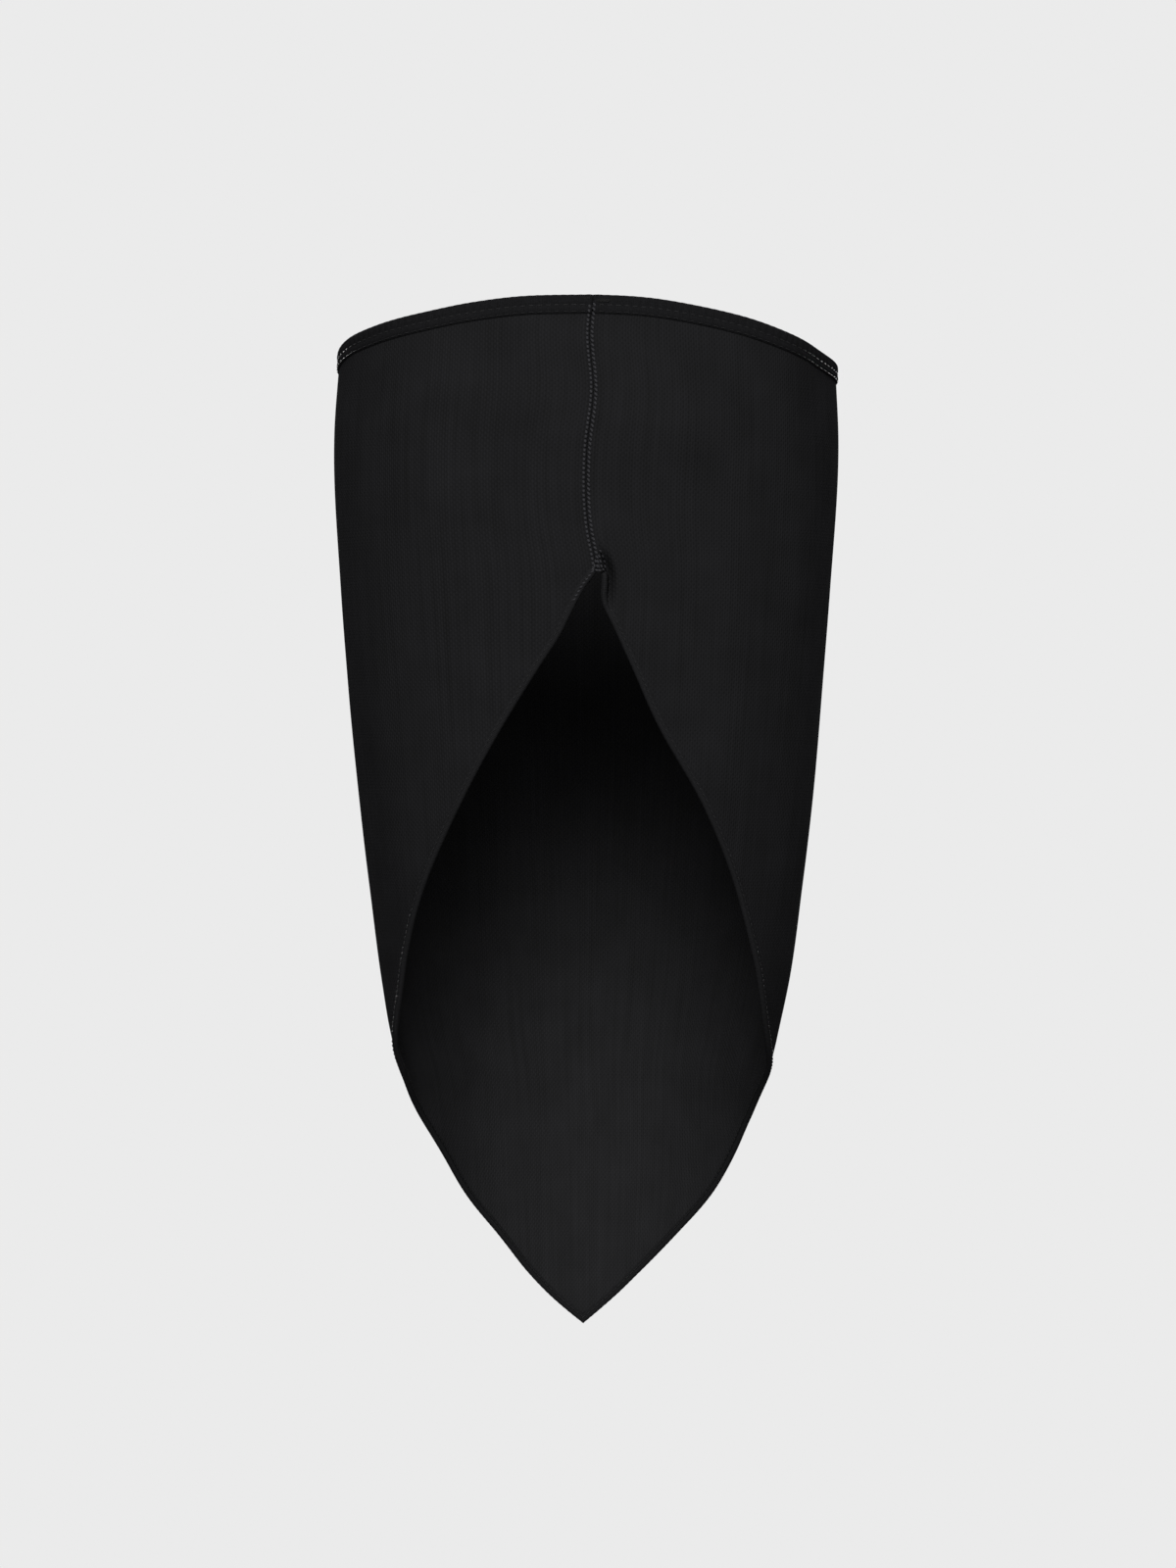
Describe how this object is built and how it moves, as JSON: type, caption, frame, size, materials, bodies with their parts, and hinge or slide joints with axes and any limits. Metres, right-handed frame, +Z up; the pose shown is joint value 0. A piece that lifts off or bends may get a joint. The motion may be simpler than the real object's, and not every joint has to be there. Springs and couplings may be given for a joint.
{
  "type": "balaclava",
  "caption": "Bandana-style knit face mask: a tube with a seam and a slit at the back, and a bib that runs down to a point in front.",
  "frame": {"origin": "on the wearer's head axis, at the centre of the head opening, level with the rim over the ears", "axes": "+Z up towards the rim, +Y the way the wearer faces (the bib's side), +X to the wearer's right; the seam and the slit are at -Y"},
  "size_m": [0.2144, 0.1622, 0.433],
  "materials": {
    "knit": "fine black polyester jersey with a faint sheen",
    "tape": "smooth black stretch binding",
    "elastic": "matte black rubber tape",
    "thread": "black textured polyester thread"
  },
  "bodies": {
    "root": {"cloth_panel": "knit", "rim_tape": "tape", "rim_elastic": "elastic", "left_edge_tape": "tape", "right_edge_tape": "tape", "rim_upper_stitch_row": "thread", "rim_lower_stitch_row": "thread", "rim_looper_thread": "thread", "back_seam_flatlock_thread": "thread", "back_seam_inner_thread": "thread", "left_edge_stitch_row": "thread", "right_edge_stitch_row": "thread", "left_edge_inner_thread": "thread", "right_edge_inner_thread": "thread", "rim_bar_tack": "thread", "slit_bar_tack": "thread"}
  },
  "joints": []
}
